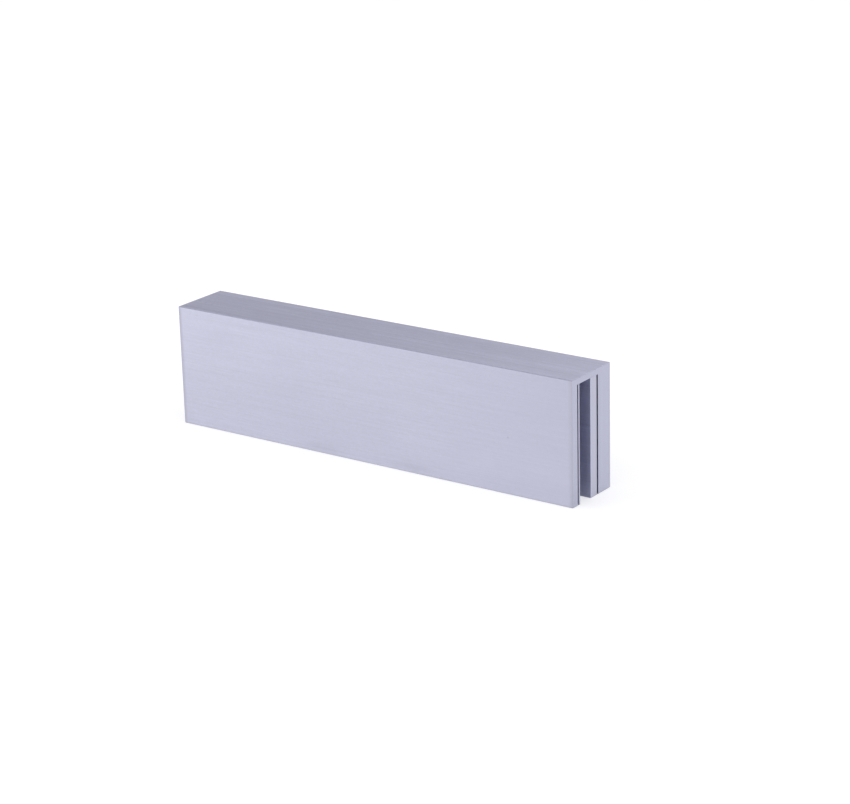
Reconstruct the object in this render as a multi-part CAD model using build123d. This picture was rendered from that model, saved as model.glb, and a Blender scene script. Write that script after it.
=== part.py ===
from build123d import *
from math import radians, tan
import os

# Glass door bracket: an upside-down U that slides over the top edge of a frameless
# glass door. Set screws in its thick rear wall push a clamp plate against the glass,
# and the rear face then carries the armature plate of a lock.
#
# Frame, in millimetres: +X along the door's edge, +Y from the plain front face to the
# rear face, +Z up. The origin is the middle of the plane that the bracket stands on.

# Channel: one extruded length, sawn square at both ends
LENGTH = 180.0
HEIGHT = 47.7
FRONT_WALL = 3.3
THROAT = 13.9  # clear width between the front wall and the rear wall
REAR_WALL = 8.3
TOP_WALL = 2.3
TOP_EDGE_RADIUS = 0.2  # the two long outer edges along the top, as extruded
LOWER_EDGE_RADIUS = 0.4  # the two long outer edges that the bracket stands on
THROAT_RADIUS = 0.25  # the two inner corners under the top wall
SAWN_EDGE_RADIUS = 0.15  # outer edges of the sawn ends, eased after the cut

# Plates in the throat, both as long as the channel and level with its lower edges
PLATE_TOP_CLEARANCE = 0.05  # under the top wall, so that the plates can slide
LINER_STAND_OFF = 0.8  # from the front wall to the loose liner plate
LINER_THICKNESS = 0.8
LINER_EDGE_BREAK = 0.05
CLAMP_PLATE_THICKNESS = 4.1
CLAMP_PLATE_STAND_OFF = 0.9  # from the rear wall, with the screws driven in this far
CLAMP_PLATE_EDGE_BREAK = 0.08

# Set screws, M6 with a hexagon socket and a cup point, two near each end
SET_SCREW_RADIUS = 3.0
SET_SCREW_RECESS = 1.2  # from the rear face down to the socket end
SET_SCREW_FROM_END = 25.0  # from a sawn end to a screw's axis
SET_SCREW_FROM_EDGE = 12.0  # from the lower edge or the top face to a screw's axis
THREAD_CLEARANCE = 0.05  # radial, between a screw and its tapped hole
SOCKET_ACROSS_FLATS = 3.0
SOCKET_DEPTH = 3.5
SOCKET_DRILL_ANGLE = 118.0
SOCKET_END_CHAMFER = 0.6
CUP_RADIUS = 1.5
CUP_RIM = 0.15  # width of the flat ring that bears on the clamp plate
CUP_ANGLE = 120.0

# Holes through the rear wall for an armature plate: its M8 bolt and two guide pins
BOLT_HOLE_RADIUS = 4.0
GUIDE_PIN_HOLE_RADIUS = 3.5
GUIDE_PIN_SPACING = 72.0
HOLE_MOUTH_CHAMFER = 0.5

DEPTH = FRONT_WALL + THROAT + REAR_WALL
THROAT_HEIGHT = HEIGHT - TOP_WALL
PLATE_HEIGHT = THROAT_HEIGHT - PLATE_TOP_CLEARANCE
SET_SCREW_LENGTH = CLAMP_PLATE_STAND_OFF + REAR_WALL - SET_SCREW_RECESS

# Faces across the depth, from the front of the bracket to its rear
REAR_FACE_Y = DEPTH / 2
THROAT_REAR_Y = REAR_FACE_Y - REAR_WALL
THROAT_FRONT_Y = THROAT_REAR_Y - THROAT
LINER_FRONT_Y = THROAT_FRONT_Y + LINER_STAND_OFF
CLAMP_PLATE_REAR_Y = THROAT_REAR_Y - CLAMP_PLATE_STAND_OFF
CLAMP_PLATE_FRONT_Y = CLAMP_PLATE_REAR_Y - CLAMP_PLATE_THICKNESS

SET_SCREW_X = LENGTH / 2 - SET_SCREW_FROM_END
SET_SCREW_PLACES = [
    (x, z)
    for z in (HEIGHT - SET_SCREW_FROM_EDGE, SET_SCREW_FROM_EDGE)
    for x in (-SET_SCREW_X, SET_SCREW_X)
]
MIDDLE_ROW_Z = HEIGHT / 2
GUIDE_PIN_PLACES = [
    (x, MIDDLE_ROW_Z)
    for x in (-GUIDE_PIN_SPACING / 2, GUIDE_PIN_SPACING / 2)
]


def along_the_door(section):
    """Extrudes a section drawn across the bracket to its full length."""
    return extrude(Plane.YZ * section, LENGTH / 2, both=True)


def outside_section():
    """The outline of the extrusion, with its long edges rounded."""
    outline = Rectangle(DEPTH, HEIGHT, align=(Align.CENTER, Align.MIN))
    outline = fillet(outline.vertices().group_by(Axis.Y)[-1], TOP_EDGE_RADIUS)
    return fillet(outline.vertices().group_by(Axis.Y)[0], LOWER_EDGE_RADIUS)


def throat_section():
    """The space for the glass and the plates, open at the bottom."""
    throat = Pos(THROAT_FRONT_Y, 0) * Rectangle(THROAT, THROAT_HEIGHT, align=Align.MIN)
    corners_under_top_wall = throat.vertices().group_by(Axis.Y)[-1]
    return fillet(corners_under_top_wall, THROAT_RADIUS)


def rear_wall_hole(x, z, radius):
    """A drill through the rear wall into the throat, with a countersunk mouth."""
    drill_depth = REAR_WALL + CLAMP_PLATE_STAND_OFF
    alignment = (Align.CENTER, Align.CENTER, Align.MIN)
    drill = Cylinder(radius, drill_depth, align=alignment)
    mouth_radius = radius + HOLE_MOUTH_CHAMFER
    mouth = Cone(mouth_radius, radius, HOLE_MOUTH_CHAMFER, align=alignment)
    return Pos(x, REAR_FACE_Y, z) * Rot(X=90) * (drill + mouth)


def make_channel():
    """The sawn length, its end edges eased, its throat open and its rear wall drilled."""
    bar = along_the_door(outside_section())
    sawn_ends = bar.faces().filter_by(Axis.X)
    bar = fillet(sawn_ends.edges(), SAWN_EDGE_RADIUS)
    channel = bar - along_the_door(throat_section())
    for x, z in SET_SCREW_PLACES:
        channel -= rear_wall_hole(x, z, SET_SCREW_RADIUS + THREAD_CLEARANCE)
    for x, z in GUIDE_PIN_PLACES:
        channel -= rear_wall_hole(x, z, GUIDE_PIN_HOLE_RADIUS)
    channel -= rear_wall_hole(0, MIDDLE_ROW_Z, BOLT_HOLE_RADIUS)
    return channel


def make_plate(front_y, thickness, edge_break):
    """A flat plate that stands on edge in the throat, with its edges broken."""
    blank = Box(LENGTH, thickness, PLATE_HEIGHT, align=(Align.CENTER, Align.MIN, Align.MIN))
    return Pos(0, front_y, 0) * chamfer(blank.edges(), edge_break)


def cone_height(radius, full_angle):
    """Height of a cone with that base radius and that full angle at its point."""
    return radius / tan(radians(full_angle / 2))


def set_screw_outline():
    """Half of the screw's lengthwise section, its cup point at the origin."""
    rim_radius = CUP_RADIUS + CUP_RIM
    outline = Polyline(
        (0, cone_height(CUP_RADIUS, CUP_ANGLE)),
        (CUP_RADIUS, 0),
        (rim_radius, 0),
        (SET_SCREW_RADIUS, SET_SCREW_RADIUS - rim_radius),
        (SET_SCREW_RADIUS, SET_SCREW_LENGTH - SOCKET_END_CHAMFER),
        (SET_SCREW_RADIUS - SOCKET_END_CHAMFER, SET_SCREW_LENGTH),
        (0, SET_SCREW_LENGTH),
        close=True,
    )
    return make_face(outline)


def hexagon_socket():
    """The key's hexagon, broached down to the point of the hole drilled before it."""
    flat_radius = SOCKET_ACROSS_FLATS / 2
    hexagon = extrude(RegularPolygon(flat_radius, 6, major_radius=False), SOCKET_DEPTH)
    drill_point = Cone(
        0,
        flat_radius,
        cone_height(flat_radius, SOCKET_DRILL_ANGLE),
        align=(Align.CENTER, Align.CENTER, Align.MAX),
    )
    return hexagon + drill_point


def make_set_screw(x, z):
    """A socket set screw in the rear wall, with its cup rim on the clamp plate."""
    screw = revolve(Plane.XZ * set_screw_outline(), Axis.Z)
    screw -= Pos(0, 0, SET_SCREW_LENGTH - SOCKET_DEPTH) * hexagon_socket()
    return Pos(x, CLAMP_PLATE_REAR_Y, z) * Rot(X=-90) * screw


def main():
    parts = {
        "channel": make_channel(),
        "liner_plate": make_plate(LINER_FRONT_Y, LINER_THICKNESS, LINER_EDGE_BREAK),
        "clamp_plate": make_plate(
            CLAMP_PLATE_FRONT_Y, CLAMP_PLATE_THICKNESS, CLAMP_PLATE_EDGE_BREAK
        ),
    }
    for number, (x, z) in enumerate(SET_SCREW_PLACES, start=1):
        parts[f"set_screw_{number}"] = make_set_screw(x, z)
    os.makedirs("parts", exist_ok=True)
    for name, solid in parts.items():
        export_step(solid, f"parts/{name}.step")


main()
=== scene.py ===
import math
from functools import partial

import bpy
import numpy as np
from mathutils import Matrix, Vector


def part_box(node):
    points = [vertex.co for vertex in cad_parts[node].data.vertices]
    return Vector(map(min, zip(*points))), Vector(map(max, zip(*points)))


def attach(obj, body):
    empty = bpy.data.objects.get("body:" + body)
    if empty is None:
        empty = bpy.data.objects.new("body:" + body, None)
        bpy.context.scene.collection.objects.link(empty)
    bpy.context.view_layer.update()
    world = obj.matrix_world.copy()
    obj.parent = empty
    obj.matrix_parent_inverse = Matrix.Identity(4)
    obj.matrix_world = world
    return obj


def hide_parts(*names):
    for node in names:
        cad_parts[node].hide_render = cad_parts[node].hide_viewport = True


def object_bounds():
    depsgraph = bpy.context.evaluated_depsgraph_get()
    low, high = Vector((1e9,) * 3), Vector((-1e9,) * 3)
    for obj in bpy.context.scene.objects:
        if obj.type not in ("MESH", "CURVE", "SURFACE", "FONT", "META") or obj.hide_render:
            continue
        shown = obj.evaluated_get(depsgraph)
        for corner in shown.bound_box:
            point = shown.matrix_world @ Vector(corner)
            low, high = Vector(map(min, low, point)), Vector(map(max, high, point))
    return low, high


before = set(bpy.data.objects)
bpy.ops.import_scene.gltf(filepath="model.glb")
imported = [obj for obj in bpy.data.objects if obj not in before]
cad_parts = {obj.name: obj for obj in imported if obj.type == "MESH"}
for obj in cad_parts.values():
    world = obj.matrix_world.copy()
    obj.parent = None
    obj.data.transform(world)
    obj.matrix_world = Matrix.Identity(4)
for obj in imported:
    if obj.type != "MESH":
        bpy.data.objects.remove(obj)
cad_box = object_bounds()

# Lengths are in metres where nothing else is said. MM turns millimetres into metres.
MM = 0.001

# Threads, ISO metric: pitch, and the radial depth of the thread in pitches
M6_PITCH = 1.0 * MM
M8_PITCH = 1.25 * MM
SCREW_THREAD_DEPTH = 0.613
NUT_THREAD_DEPTH = 0.541

# Tapped threads: the room past a screw's crest, the share of a ridge's height that is taken
# off at its foot so that it clears the screw's flanks, and how far past the thread's nominal
# radius its sleeve's outer wall is buried in the metal
CREST_GAP = 0.03 * MM
RIDGE_FOOT_OFF = 0.08
BURIED_DEPTH = 0.2 * MM

# How finely threads are drawn: points around, and rows for each pitch
AROUND = 72
ANGLES = np.linspace(0, 2 * np.pi, AROUND, endpoint=False)[None, :]
ROWS_PER_PITCH = 16

# Set screw, as its solid in the frame: M6 with a 3 mm hexagon socket and a cup point
SET_SCREWS = ["set_screw_1", "set_screw_2", "set_screw_3", "set_screw_4"]
SOCKET_ACROSS_FLATS = 3.0 * MM
SOCKET_DEPTH = 3.5 * MM
SOCKET_LEAD_IN = 0.15 * MM
SOCKET_DRILL_HALF_ANGLE = 59.0
SOCKET_END_CHAMFER = 0.6 * MM
CUP_RADIUS = 1.5 * MM
CUP_RIM = 0.15 * MM
CUP_HALF_ANGLE = 60.0

# Shares of a cone's radius: the last ring before its point, and the ring at which the drilled
# point starts, just inside the hexagon's flats
POLE_RING = 0.02
DRILL_RING = 0.999

# Rear wall: the gap between it and the clamp plate, the radius of its M8 thread, and the bevel
# at the mouths of its holes
CLAMP_PLATE_STAND_OFF = 0.9 * MM
M8_RADIUS = 4.0 * MM
HOLE_MOUTH_CHAMFER = 0.5 * MM

# Holes through the rear wall, in millimetres: x, z and radius
HOLES = [
    (x * MM, z * MM, radius * MM)
    for x, z, radius in (
        (0, 23.85, 4.0), (-36, 23.85, 3.5), (36, 23.85, 3.5),
        (-65, 35.7, 3.05), (65, 35.7, 3.05), (-65, 12, 3.05), (65, 12, 3.05),
    )
]
# Only the rear wall lies behind this. Its inner face is at 4.45 mm
REAR_WALL_FROM_Y = 4.4 * MM
# Farther than any hole is from any other place on the bracket
FAR_AWAY = 1.0

# Faint darker marks on the plain face and the top, in millimetres: place, half the length
# along X, half the width, and strength. The two long ones lie low along the plain face's lower
# edge and the two at x 90 at its lower right corner, which they make darker there; the small one
# at x 62.7 is a scratch and the three on the top are specks
FRONT_Y = -12.75
TOP_Z = 47.7
MARKS = [
    ((x * MM, y * MM, z * MM), (long * MM, wide * MM, wide * MM), strength)
    for x, y, z, long, wide, strength in (
        (-22.0, FRONT_Y, 2.3, 12.5, 2.4, 0.10), (20.0, FRONT_Y, 2.5, 12.5, 2.4, 0.13),
        (62.7, FRONT_Y, 21.8, 0.7, 0.7, 0.25), (90.0, FRONT_Y, 1.5, 2.2, 2.2, 0.10),
        (90.0, FRONT_Y, 4.5, 1.8, 1.8, 0.08),
        (-87.5, -2.6, TOP_Z, 0.9, 0.9, 0.30), (-84.0, -3.2, TOP_Z, 1.0, 1.0, 0.30),
        (-80.5, -3.9, TOP_Z, 0.9, 0.9, 0.25),
    )
]


def srgb(hex_colour):
    """An sRGB hex colour as linear red, green, blue and an alpha of 1."""
    parts = [int(hex_colour[i:i + 2], 16) / 255 for i in (1, 3, 5)]
    linear = [c / 12.92 if c <= 0.04045 else ((c + 0.055) / 1.055) ** 2.4 for c in parts]
    return (*linear, 1.0)


def add_node(tree, kind, inputs=(), **settings):
    """Adds a shader node. Settings are its own properties. Inputs maps its sockets, by name or
    number, to a plain value, to an output socket, or to a node, whose first output is meant."""
    node = tree.nodes.new("ShaderNode" + kind)
    for name, value in settings.items():
        setattr(node, name, value)
    sockets = [socket for socket in node.inputs if socket.enabled]
    by_name = {socket.name: socket for socket in reversed(sockets)}
    for key, value in dict(inputs).items():
        socket = sockets[key] if isinstance(key, int) else by_name[key]
        if isinstance(value, bpy.types.Node):
            value = next(output for output in value.outputs if output.enabled)
        if isinstance(value, bpy.types.NodeSocket):
            tree.links.new(value, socket)
        else:
            socket.default_value = value
    return node


def new_material(name):
    """A new material with no nodes yet, and add_node for its tree."""
    material = bpy.data.materials.new(name)
    material.use_nodes = True
    material.node_tree.nodes.clear()
    return material, partial(add_node, material.node_tree)


def dress(piece, material):
    """Gives a piece one material on all its faces."""
    piece.data.materials.clear()
    piece.data.materials.append(material)


# Surfaces


def mesh_piece(name, points, faces):
    """A new piece of the scene with that name, those points and those faces."""
    mesh = bpy.data.meshes.new(name)
    mesh.from_pydata(points.tolist(), [], faces)
    mesh.validate()
    mesh.update()
    piece = bpy.data.objects.new(name, mesh)
    bpy.context.scene.collection.objects.link(piece)
    return piece


def closed_rings(name, rings):
    """A closed skin over rings of points, each the same number of points round an axis: the
    array is ring, point, xyz. The first and the last ring each close on their own middle. The
    rings go towards +Y on the outside, and so the faces point outwards."""
    count, around, _ = rings.shape
    points = rings.reshape(-1, 3)
    ring, step = np.meshgrid(np.arange(count - 1), np.arange(around), indexing="ij")
    after = (step + 1) % around
    quads = np.stack(
        [ring * around + step, ring * around + after,
         (ring + 1) * around + after, (ring + 1) * around + step], -1
    ).reshape(-1, 4)
    middles = np.stack([rings[0].mean(0), rings[-1].mean(0)])
    first_middle = len(points)
    last_middle = first_middle + 1
    turn = np.arange(around)
    turn_after = (turn + 1) % around
    last_ring = (count - 1) * around + turn
    last_ring_after = (count - 1) * around + turn_after
    first_fan = np.stack([np.full(around, first_middle), turn_after, turn], -1)
    last_fan = np.stack([np.full(around, last_middle), last_ring, last_ring_after], -1)
    faces = quads.tolist() + first_fan.tolist() + last_fan.tolist()
    return mesh_piece(name, np.vstack([points, middles]), faces)


def closed_loop_of_rings(name, rings):
    """A closed sleeve over rings of points, where the last ring joins the first again. The rings
    go towards +Y on the inner wall and back on the outer wall, and so the faces, which are
    wound the other way round here, point outwards."""
    count, around, _ = rings.shape
    ring, step = np.meshgrid(np.arange(count), np.arange(around), indexing="ij")
    after = (step + 1) % around
    next_ring = (ring + 1) % count
    quads = np.stack(
        [ring * around + step, next_ring * around + step,
         next_ring * around + after, ring * around + after], -1
    ).reshape(-1, 4)
    return mesh_piece(name, rings.reshape(-1, 3), quads.tolist())


def around_y(radius, angle, y, centre):
    """Points at that radius and angle about a line along Y through centre, as an array whose
    last axis is xyz. The angle grows from +Z towards +X, which is a right-hand turn about +Y."""
    radius, angle, y = np.broadcast_arrays(radius, angle, y)
    return np.stack(
        [centre[0] + radius * np.sin(angle), y, centre[2] + radius * np.cos(angle)], -1
    )


def thread_height(angle, y, pitch):
    """How far up the thread's flank a point lies, from 0 in the groove to 1 on the crest: a
    right-hand ridge whose section is a trapezium, with flanks near 60 degrees to each other."""
    phase = np.mod(y / pitch - angle / (2 * np.pi), 1.0)
    from_crest = np.abs(phase - 0.5)
    crest_half, groove_half = 1 / 16, 1 / 8
    return np.clip((0.5 - groove_half - from_crest) / (0.5 - groove_half - crest_half), 0, 1)


def hexagon_radius(angle, across_flats):
    """Distance from the middle of a hexagon to its side, at that angle: half the width across
    its flats, over the cosine of the angle from the middle of that side."""
    sixth = np.pi / 3
    return across_flats / 2 / np.cos(np.mod(angle, sixth) - sixth / 2)


def set_screw_surface(name, low, high):
    """The whole skin of a set screw, from the middle of its cup, over the thread, to the middle
    of its socket: rings about its axis, each with its own radius and its own place along Y. The
    thread's radius is the least of its ridge and of the cones that bevel its two ends."""
    centre = (low + high) / 2
    major = (high.x - low.x) / 2
    tip, end = low.y, high.y
    rim = CUP_RADIUS + CUP_RIM
    rows = int(round((end - tip) / M6_PITCH * ROWS_PER_PITCH))
    y = np.linspace(tip, end, rows)[:, None]
    depth = SCREW_THREAD_DEPTH * M6_PITCH
    ridge = major - depth * (1 - thread_height(ANGLES, y, M6_PITCH))
    at_tip = rim + (y - tip)
    at_end = major - SOCKET_END_CHAMFER + (end - y)
    thread = np.minimum(np.minimum(ridge, at_tip), at_end)
    cup_depth = CUP_RADIUS / math.tan(math.radians(CUP_HALF_ANGLE))
    socket = hexagon_radius(ANGLES, SOCKET_ACROSS_FLATS)
    floor_y = end - SOCKET_DEPTH
    drill_radius = SOCKET_ACROSS_FLATS / 2
    drill_depth = drill_radius / math.tan(math.radians(SOCKET_DRILL_HALF_ANGLE))
    flat = np.zeros((1, AROUND))
    rings = [
        (flat + POLE_RING * CUP_RADIUS, tip + (1 - POLE_RING) * cup_depth),
        (flat + CUP_RADIUS, tip),
        (thread, y),
        (socket + SOCKET_LEAD_IN, end),
        (socket, end - SOCKET_LEAD_IN),
        (socket, floor_y),
        (flat + DRILL_RING * drill_radius, floor_y),
        (flat + POLE_RING * drill_radius, floor_y - (1 - POLE_RING) * drill_depth),
    ]
    skin = np.concatenate([around_y(r, ANGLES, at, centre) for r, at in rings])
    return closed_rings(name, skin)


def tapped_thread_surface(name, centre, major, pitch, inner_y, outer_y):
    """The thread of a tapped hole: a sleeve whose inner wall is the thread's ridge, cut off by
    the cone of the countersunk mouth, and whose outer wall lies just inside the metal. The
    ridge's height is what a screw's thread leaves free, less a little at its foot."""
    start = outer_y - HOLE_MOUTH_CHAMFER
    rows = int(round((start - inner_y) / pitch * ROWS_PER_PITCH))
    y = np.linspace(inner_y, start, rows)[:, None]
    depth = NUT_THREAD_DEPTH * pitch
    groove = major + CREST_GAP
    left_free = 1 - thread_height(ANGLES, y, pitch)
    height = np.clip(left_free * (1 + RIDGE_FOOT_OFF) - RIDGE_FOOT_OFF, 0, 1)
    ridge = groove - (depth + CREST_GAP) * height
    mouth_cone = major + HOLE_MOUTH_CHAMFER - (outer_y - y)
    bore = np.maximum(ridge, mouth_cone)
    buried = np.full((1, AROUND), major + BURIED_DEPTH)
    rings = [(buried, inner_y), (bore, y), (buried, start)]
    skin = np.concatenate([around_y(r, ANGLES, at, centre) for r, at in rings])
    return closed_loop_of_rings(name, skin)


# Materials

# Saw marks and blasted grit are finer than this speckle, which is most of a pixel
SPECKLE = (0.3 * MM, 0.3 * MM, 0.3 * MM)
# How deep the scratches and the speckle are as relief
RELIEF_DEPTH = 0.02 * MM

# Where along X the painted shade on the upright brushed faces starts, which darkens them a little
# towards the right end, and where it is full; where the painted shade before a sawn edge starts,
# which damps that edge's highlight; and where the sawn ends are
PAINTED_SHADE_FROM_X = 18 * MM
PAINTED_SHADE_FULL_AT_X = 89.6 * MM
PAINTED_EDGE_SHADE_FROM_X = 88.2 * MM
SAWN_END_X = 90.0 * MM

# Roughness of the plates' sawn ends, and how far a plate's roughness strays to both sides
SAWN_ROUGHNESS = 0.45
ROUGHNESS_SPREAD = 0.1


def grain(node, here, size, detail=2.0):
    """Noise from 0 to 1 about 0.5, whose cells are as large along X, Y and Z as size says."""
    scale = tuple(1 / length for length in size)
    stretched = node("Mapping", {"Vector": here, "Scale": scale})
    return node(
        "TexNoise", {"Vector": stretched, "Scale": 1.0, "Detail": detail, "Roughness": 0.5}
    )


def layered_grain(node, here, layers):
    """The sum of several grains, each with its cell size and its share of the sum."""
    total = 0.0
    for size, share in layers:
        layer = grain(node, here, size)
        total = node("Math", {0: layer, 1: share, 2: total}, operation="MULTIPLY_ADD")
    return total


def sawn_ends(node, facing):
    """1 on faces that look along X, which a saw cut, and 0 on all others."""
    away = node("Math", {0: facing.outputs["X"]}, operation="ABSOLUTE")
    return node("MapRange", {"Value": away, "From Min": 0.90, "From Max": 0.98})


def hole_walls(node, here):
    """1 on the walls and countersinks of the rear wall's holes, 0 elsewhere: the distance from
    the nearest hole's axis, less that hole's radius, is under the width of its countersink."""
    flat = node("VectorMath", {0: here, 1: (1, 0, 1)}, operation="MULTIPLY")
    past_radius = FAR_AWAY
    for x, z, radius in HOLES:
        away = node("VectorMath", {0: flat, 1: (x, 0, z)}, operation="DISTANCE")
        past_this = node("Math", {0: away, 1: radius}, operation="SUBTRACT")
        past_radius = node("Math", {0: past_this, 1: past_radius}, operation="MINIMUM")
    within = node("MapRange", {
        "Value": past_radius, "From Min": 0.46 * MM, "From Max": 0.56 * MM,
        "To Min": 1.0, "To Max": 0.0,
    })
    place = node("SeparateXYZ", {0: here})
    behind = node("Math", {0: place.outputs["Y"], 1: REAR_WALL_FROM_Y}, operation="GREATER_THAN")
    return node("Math", {0: within, 1: behind}, operation="MULTIPLY")


def darker_marks(node, here):
    """Each mark's strength in its middle, 0 away from the marks: a mark fades out as the way
    from its middle, divided by its half sizes, grows to 1."""
    total = 0.0
    for place, half_size, strength in MARKS:
        offset = node("VectorMath", {0: here, 1: place}, operation="SUBTRACT")
        offset = node("VectorMath", {0: offset, 1: half_size}, operation="DIVIDE")
        away = node("VectorMath", {0: offset}, operation="LENGTH")
        fade = {"Value": away, "To Min": strength, "To Max": 0.0}
        spot = node("MapRange", fade, interpolation_type="SMOOTHSTEP")
        total = node("Math", {0: total, 1: spot}, operation="MAXIMUM")
    return total


def brush_scratches(node, here):
    """The scratches of a brushing belt that runs along X. Real ones are about 0.1 mm wide. They
    are drawn near 0.5 mm wide on the upright faces and 0.7 mm on the level ones, about a pixel
    each, and up to the bracket's length."""
    return layered_grain(node, here, (
        ((180 * MM, 0.9 * MM, 60 * MM), 0.32),
        ((160 * MM, 0.8 * MM, 0.60 * MM), 0.12),
        ((24 * MM, 0.6 * MM, 0.58 * MM), 0.21),
        ((2.5 * MM, 0.7 * MM, 0.52 * MM), 0.17),
        ((0.42 * MM, 0.5 * MM, 0.42 * MM), 0.18),
    ))


def brushed_colour(node, here, facing, streaks):
    """The colour of the brushed faces: streaks between a darker and a lighter grey, stronger on
    the top, under faint clouds. Painted shade makes the upright faces a little darker towards
    the right end and once more just before each sawn edge, and darkens the rounded long edges
    of the top."""
    up = facing.outputs["Z"]
    strength = node("MapRange", {
        "Value": up, "From Min": 0.5, "From Max": 0.9, "To Min": 1.0, "To Max": 1.45,
    })
    from_grey = node("Math", {0: streaks, 1: 0.5}, operation="SUBTRACT")
    contrast = node("Math", {0: from_grey, 1: strength, 2: 0.5}, operation="MULTIPLY_ADD")
    streaked = node(
        "Mix", {"Factor": contrast, "A": srgb("#A5A5B4"), "B": srgb("#E1E1F0")}, data_type="RGBA"
    )
    cloud = grain(node, here, (24 * MM, 9 * MM, 9 * MM))
    clouds = node("MapRange", {"Value": cloud, "From Min": 0.4, "From Max": 0.8, "To Max": 0.4})
    clouded = node(
        "Mix", {"Factor": clouds, "A": streaked, "B": srgb("#BFC0CE")}, data_type="RGBA"
    )
    upright = node("MapRange", {
        "Value": up, "From Min": 0.5, "From Max": 0.9, "To Min": 1.0, "To Max": 0.0,
    })
    x = node("SeparateXYZ", {0: here}).outputs["X"]
    along = node("Math", {0: x, 1: upright}, operation="MULTIPLY")
    # Painted shade: the upright faces get a little darker towards the right end
    painted_shade_to_right_end = node("MapRange", {
        "Value": along, "From Min": PAINTED_SHADE_FROM_X, "From Max": PAINTED_SHADE_FULL_AT_X, "To Max": 0.4,
    })
    with_painted_end_shade = node(
        "Mix", {"Factor": painted_shade_to_right_end, "A": clouded, "B": srgb("#B4B4C5")}, data_type="RGBA"
    )
    # Painted shade over the last stretch before each sawn edge, which damps that edge's highlight
    from_middle = node("Math", {0: along}, operation="ABSOLUTE")
    painted_shade_at_sawn_edge = node("MapRange", {
        "Value": from_middle, "From Min": PAINTED_EDGE_SHADE_FROM_X, "From Max": SAWN_END_X,
    })
    with_painted_edge_shade = node("Mix", {"Factor": painted_shade_at_sawn_edge, "A": with_painted_end_shade, "B": srgb("#B2B2C0")}, data_type="RGBA")
    # Painted shade on the rounded long edges of the top, which keeps a highlight off them. The
    # upward part of a face's direction times its part along Y is 0 on flat faces and a half in the
    # middle of such an edge
    sideways = node("Math", {0: facing.outputs["Y"]}, operation="ABSOLUTE")
    turning = node("Math", {0: sideways, 1: up}, operation="MULTIPLY")
    painted_shade_on_rounded_edge = node("MapRange", {"Value": turning, "From Min": 0.02, "From Max": 0.16})
    return node("Mix", {"Factor": painted_shade_on_rounded_edge, "A": with_painted_edge_shade, "B": srgb("#9B9DAC")}, data_type="RGBA")


def brushed_anodised_aluminium():
    """Extruded aluminium, belt-brushed along its length and clear anodised, then sawn. The eye
    sees faint fine streaks on the long faces, an even satin with a little speckle on the sawn
    ends, and bare turned metal in the holes."""
    material, node = new_material("brushed_anodised_aluminium")
    coordinates = node("TexCoord").outputs
    here = coordinates["Object"]
    facing = node("SeparateXYZ", {0: coordinates["Normal"]})
    sawn = sawn_ends(node, facing)
    machined = hole_walls(node, here)
    streaks = brush_scratches(node, here)
    brushed = brushed_colour(node, here, facing, streaks)
    grit = grain(node, here, SPECKLE, 1.0)
    satin = node(
        "Mix", {"Factor": grit, "A": srgb("#ACADBD"), "B": srgb("#CECFDF")}, data_type="RGBA"
    )
    outside = node("Mix", {"Factor": sawn, "A": brushed, "B": satin}, data_type="RGBA")
    marks = darker_marks(node, here)
    # The marks are a scratch, specks, and darker patches low on the plain face and at its lower
    # right corner
    marked = node("Mix", {"Factor": marks, "A": outside, "B": srgb("#868794")}, data_type="RGBA")
    turned = grain(node, here, (4 * MM, 0.15 * MM, 4 * MM))
    bare = node(
        "Mix", {"Factor": turned, "A": srgb("#B0B0B8"), "B": srgb("#E5E5EB")}, data_type="RGBA"
    )
    surface = node("Mix", {"Factor": sawn, "A": streaks, "B": grit})
    satin_rough = node("MapRange", {"Value": surface, "To Min": 0.34, "To Max": 0.56})
    relief = node("Mix", {"Factor": machined, "A": surface, "B": turned})
    # The scratches run along X and spread light across themselves. On the sawn ends, where that
    # direction would vanish, the small upright part is left
    across = node(
        "VectorMath", {0: coordinates["Normal"], 1: (1, 0, 0)}, operation="CROSS_PRODUCT"
    )
    shader = node("BsdfPrincipled", {
        "Base Color": node("Mix", {"Factor": machined, "A": marked, "B": bare}, data_type="RGBA"),
        "Metallic": 1.0,
        "Roughness": node("Mix", {"Factor": machined, "A": satin_rough, "B": 0.3}),
        "Normal": node("Bump", {"Height": relief, "Strength": 0.3, "Distance": RELIEF_DEPTH}),
        "Anisotropic": 0.4,
        "Tangent": node("VectorMath", {0: across, 1: (0, 0, 0.2)}, operation="ADD"),
    })
    node("OutputMaterial", {"Surface": shader})
    return material


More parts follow.
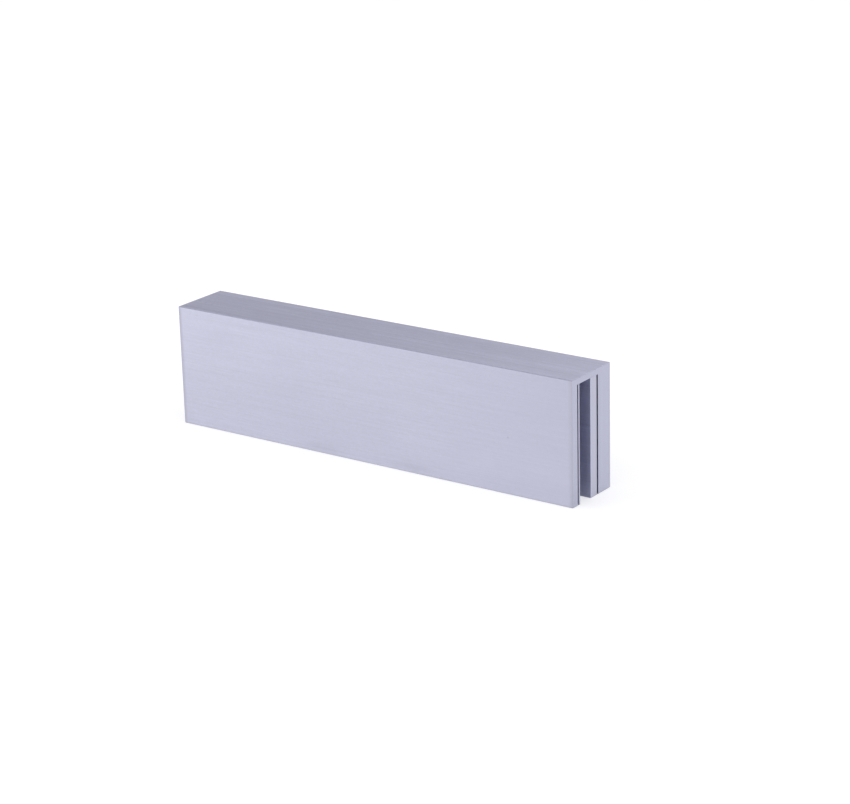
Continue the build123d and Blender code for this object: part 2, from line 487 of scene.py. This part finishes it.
def drawn_aluminium(name, face_colours, end_colours, roughness):
    """Plain aluminium bar or sheet as it comes from the mill: a satin that is a little uneven,
    with faint drawing lines along its length, and brighter speckled metal on its sawn ends."""
    material, node = new_material(name)
    coordinates = node("TexCoord").outputs
    here = coordinates["Object"]
    sawn = sawn_ends(node, node("SeparateXYZ", {0: coordinates["Normal"]}))
    lines = layered_grain(node, here, (
        ((160 * MM, 0.4 * MM, 0.4 * MM), 0.5), ((12 * MM, 0.4 * MM, 0.4 * MM), 0.5),
    ))
    grit = grain(node, here, SPECKLE, 1.0)
    faces, ends = (
        node("Mix", {"Factor": texture, "A": srgb(dark), "B": srgb(light)}, data_type="RGBA")
        for texture, (dark, light) in ((lines, face_colours), (grit, end_colours))
    )
    surface = node("Mix", {"Factor": sawn, "A": lines, "B": grit})
    middle = node("Mix", {"Factor": sawn, "A": roughness, "B": SAWN_ROUGHNESS})
    spread = node("MapRange", {
        "Value": surface, "To Min": -ROUGHNESS_SPREAD, "To Max": ROUGHNESS_SPREAD,
    })
    shader = node("BsdfPrincipled", {
        "Base Color": node("Mix", {"Factor": sawn, "A": faces, "B": ends}, data_type="RGBA"),
        "Metallic": 1.0,
        "Roughness": node("Math", {0: middle, 1: spread}, operation="ADD"),
        "Normal": node("Bump", {"Height": surface, "Strength": 0.25, "Distance": RELIEF_DEPTH}),
    })
    node("OutputMaterial", {"Surface": shader})
    return material


def black_oxide_steel():
    """Alloy steel, hardened and black oxidised: near black, with a faintly blotched oily sheen."""
    material, node = new_material("black_oxide_steel")
    blotch = grain(node, node("TexCoord").outputs["Object"], (0.8 * MM, 0.8 * MM, 0.8 * MM), 3.0)
    black = node(
        "Mix", {"Factor": blotch, "A": srgb("#1C1C20"), "B": srgb("#5C5B62")}, data_type="RGBA"
    )
    shader = node("BsdfPrincipled", {
        "Base Color": black,
        "Metallic": 1.0,
        "Roughness": node("MapRange", {"Value": blotch, "To Min": 0.2, "To Max": 0.5}),
    })
    node("OutputMaterial", {"Surface": shader})
    return material


def cut_thread_aluminium():
    """Aluminium cut by a tap after anodising: bare and bright, with the tap's fine marks."""
    material, node = new_material("cut_thread_aluminium")
    marks = grain(node, node("TexCoord").outputs["Object"], (0.25 * MM, 0.25 * MM, 0.25 * MM))
    bright = node(
        "Mix", {"Factor": marks, "A": srgb("#B2B2B8"), "B": srgb("#E4E4EA")}, data_type="RGBA"
    )
    shader = node("BsdfPrincipled", {
        "Base Color": bright,
        "Metallic": 1.0,
        "Roughness": node("MapRange", {"Value": marks, "To Min": 0.2, "To Max": 0.42}),
    })
    node("OutputMaterial", {"Surface": shader})
    return material


# The bracket


def dress_cad_nodes():
    """Gives the channel and the two plates, as they come from the frame, their metals."""
    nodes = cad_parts
    dress(nodes["channel"], brushed_anodised_aluminium())
    dress(nodes["clamp_plate"], drawn_aluminium(
        "drawn_aluminium_bar", ("#C9CCE3", "#EAECFF"), ("#B1B2C0", "#CDCEDC"), 0.49))
    dress(nodes["liner_plate"], drawn_aluminium(
        "mill_finish_sheet", ("#C1C3DA", "#E5E7FE"), ("#A5A6B4", "#C5C6D4"), 0.44))


def add_set_screws():
    """Puts a threaded set screw in the place of each plain one."""
    steel = black_oxide_steel()
    for node in SET_SCREWS:
        low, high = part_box(node)
        piece = set_screw_surface("threaded_" + node, low, high)
        dress(piece, steel)
        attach(piece, node)
        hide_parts(node)


def add_tapped_threads():
    """Lines the rear wall's M8 hole and its four M6 holes with tapped threads."""
    bare = cut_thread_aluminium()
    _, channel_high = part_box("channel")
    _, clamp_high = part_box("clamp_plate")
    throat_rear = clamp_high.y + CLAMP_PLATE_STAND_OFF
    middle = Vector((0, 0, channel_high.z / 2))
    holes = [("m8_tapped_thread", middle, M8_RADIUS, M8_PITCH)]
    for node in SET_SCREWS:
        low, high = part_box(node)
        centre = (low + high) / 2
        holes.append(("m6_tapped_thread_" + node[-1], centre, (high.x - low.x) / 2, M6_PITCH))
    for name, centre, major, pitch in holes:
        piece = tapped_thread_surface(name, centre, major, pitch, throat_rear, channel_high.y)
        dress(piece, bare)
        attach(piece, "channel")


# Studio

FLOOR_HALF_WIDTH = 40.0
FLOOR_DROP = 0.05 * MM
FLOOR_GLOW = 0.545
FAR_FLOOR_GLOW = 0.75
# Over these distances from the bracket, the floor gets out of the lamps' reach
LAMPS_FADE_FROM = 1.0
LAMPS_FADE_TO = 2.5

# Softboxes: name, bearing and height in degrees, width and height in metres, and watts
SOFTBOX_DISTANCE = 1.5
SOFTBOXES = [
    ("left_softbox", -45, 38, 3.2, 1.8, 19.1),
    ("right_softbox", 75, 38, 3.2, 1.8, 13.5),
    ("rear_softbox", 180, 50, 1.4, 1.0, 4.3),
]
ROOM_COLOUR = "#F2F3FF"
ROOM_STRENGTH = 0.517


def add_floor():
    """A wide white table top under the bracket, just below its feet. Part of its white is lamp
    light, which keeps a soft shadow, and the rest is a glow that the camera and the metal see.
    The glow makes up for the lamps where the floor is out of their reach. The metal sees none on
    the patch that the bracket stands on, where no light gets in."""
    reach = FLOOR_HALF_WIDTH
    mesh = bpy.data.meshes.new("floor")
    corners = [(-reach, -reach), (reach, -reach), (reach, reach), (-reach, reach)]
    mesh.from_pydata([(x, y, -FLOOR_DROP) for x, y in corners], [], [(0, 1, 2, 3)])
    floor = bpy.data.objects.new("floor", mesh)
    bpy.context.scene.collection.objects.link(floor)
    material, node = new_material("white_table_top")
    low, high = cad_box
    place = node("VectorMath", {0: node("TexCoord").outputs["Object"]}, operation="ABSOLUTE")
    beyond = node("VectorMath", {0: place, 1: (high.x, high.y, 1.0)}, operation="SUBTRACT")
    beyond = node("SeparateXYZ", {0: beyond}).outputs
    farther = node("Math", {0: beyond["X"], 1: beyond["Y"]}, operation="MAXIMUM")
    clear = node("MapRange", {"Value": farther, "From Min": -0.5 * MM, "From Max": 0.5 * MM})
    ray = node("LightPath").outputs
    mirrored = node(
        "Math", {0: ray["Is Glossy Ray"], 1: ray["Is Transmission Ray"]}, operation="MAXIMUM"
    )
    mirrored = node("Math", {0: mirrored, 1: clear}, operation="MULTIPLY")
    seen = node("Math", {0: mirrored, 1: ray["Is Camera Ray"]}, operation="MAXIMUM")
    away = node("VectorMath", {0: place}, operation="LENGTH")
    glow = node("MapRange", {
        "Value": away, "From Min": LAMPS_FADE_FROM, "From Max": LAMPS_FADE_TO,
        "To Min": FLOOR_GLOW, "To Max": FAR_FLOOR_GLOW,
    })
    shader = node("BsdfPrincipled", {
        "Base Color": srgb("#BFBFC0"), "Roughness": 0.9, "Specular IOR Level": 0.0,
        "Emission Color": srgb("#FFFFFF"),
        "Emission Strength": node("Math", {0: seen, 1: glow}, operation="MULTIPLY"),
    })
    node("OutputMaterial", {"Surface": shader})
    dress(floor, material)


def add_softbox(name, azimuth, elevation, width, height, power):
    """A rectangular soft light, aimed at the bracket's middle from that bearing. Azimuth 0 is
    in front of the plain face and 90 is off the right end."""
    target = Vector((0, 0, 24 * MM))
    bearing, up = math.radians(azimuth), math.radians(elevation)
    away = Vector(
        (math.sin(bearing) * math.cos(up), -math.cos(bearing) * math.cos(up), math.sin(up))
    )
    light = bpy.data.lights.new(name, "AREA")
    light.shape = "RECTANGLE"
    light.size = width
    light.size_y = height
    light.energy = power
    lamp = bpy.data.objects.new(name, light)
    lamp.location = target + away * SOFTBOX_DISTANCE
    lamp.rotation_mode = "QUATERNION"
    lamp.rotation_quaternion = away.to_track_quat("Z", "Y")
    bpy.context.scene.collection.objects.link(lamp)


def add_world():
    """The even, faintly blue light of a pale room, from all around."""
    world = bpy.data.worlds.new("pale_room")
    world.use_nodes = True
    background = world.node_tree.nodes["Background"]
    background.inputs["Color"].default_value = srgb(ROOM_COLOUR)
    background.inputs["Strength"].default_value = ROOM_STRENGTH
    bpy.context.scene.world = world


def add_camera():
    """The photograph's view, in degrees and metres: the camera looks from the front right and
    above at the middle of the plain face's lower edge, is rolled a little, and is then moved
    sideways and up, so that it looks past that point."""
    azimuth = math.radians(35.693)
    elevation = math.radians(18.695)
    roll = math.radians(-1.509)
    distance = 958.656 * MM
    right_shift = 20.99 * MM
    up_shift = 22.983 * MM
    low, high = cad_box
    target = Vector(((low.x + high.x) / 2, low.y, low.z))
    back = Vector(
        (math.sin(azimuth) * math.cos(elevation),
         -math.cos(azimuth) * math.cos(elevation),
         math.sin(elevation))
    )
    level_right = Vector((0, 0, 1)).cross(back).normalized()
    level_up = back.cross(level_right)
    right = level_right * math.cos(roll) + level_up * math.sin(roll)
    up = level_up * math.cos(roll) - level_right * math.sin(roll)
    data = bpy.data.cameras.new("camera")
    data.sensor_width = 36.0
    data.lens = 108.395
    camera = bpy.data.objects.new("camera", data)
    pose = Matrix((right, up, back)).transposed().to_4x4()
    pose.translation = target + right * right_shift + up * up_shift + back * distance
    camera.matrix_world = pose
    bpy.context.scene.collection.objects.link(camera)
    bpy.context.scene.camera = camera


dress_cad_nodes()
add_set_screws()
add_tapped_threads()
add_floor()
add_world()
for softbox in SOFTBOXES:
    add_softbox(*softbox)
add_camera()
bpy.context.scene.view_settings.view_transform = "Standard"
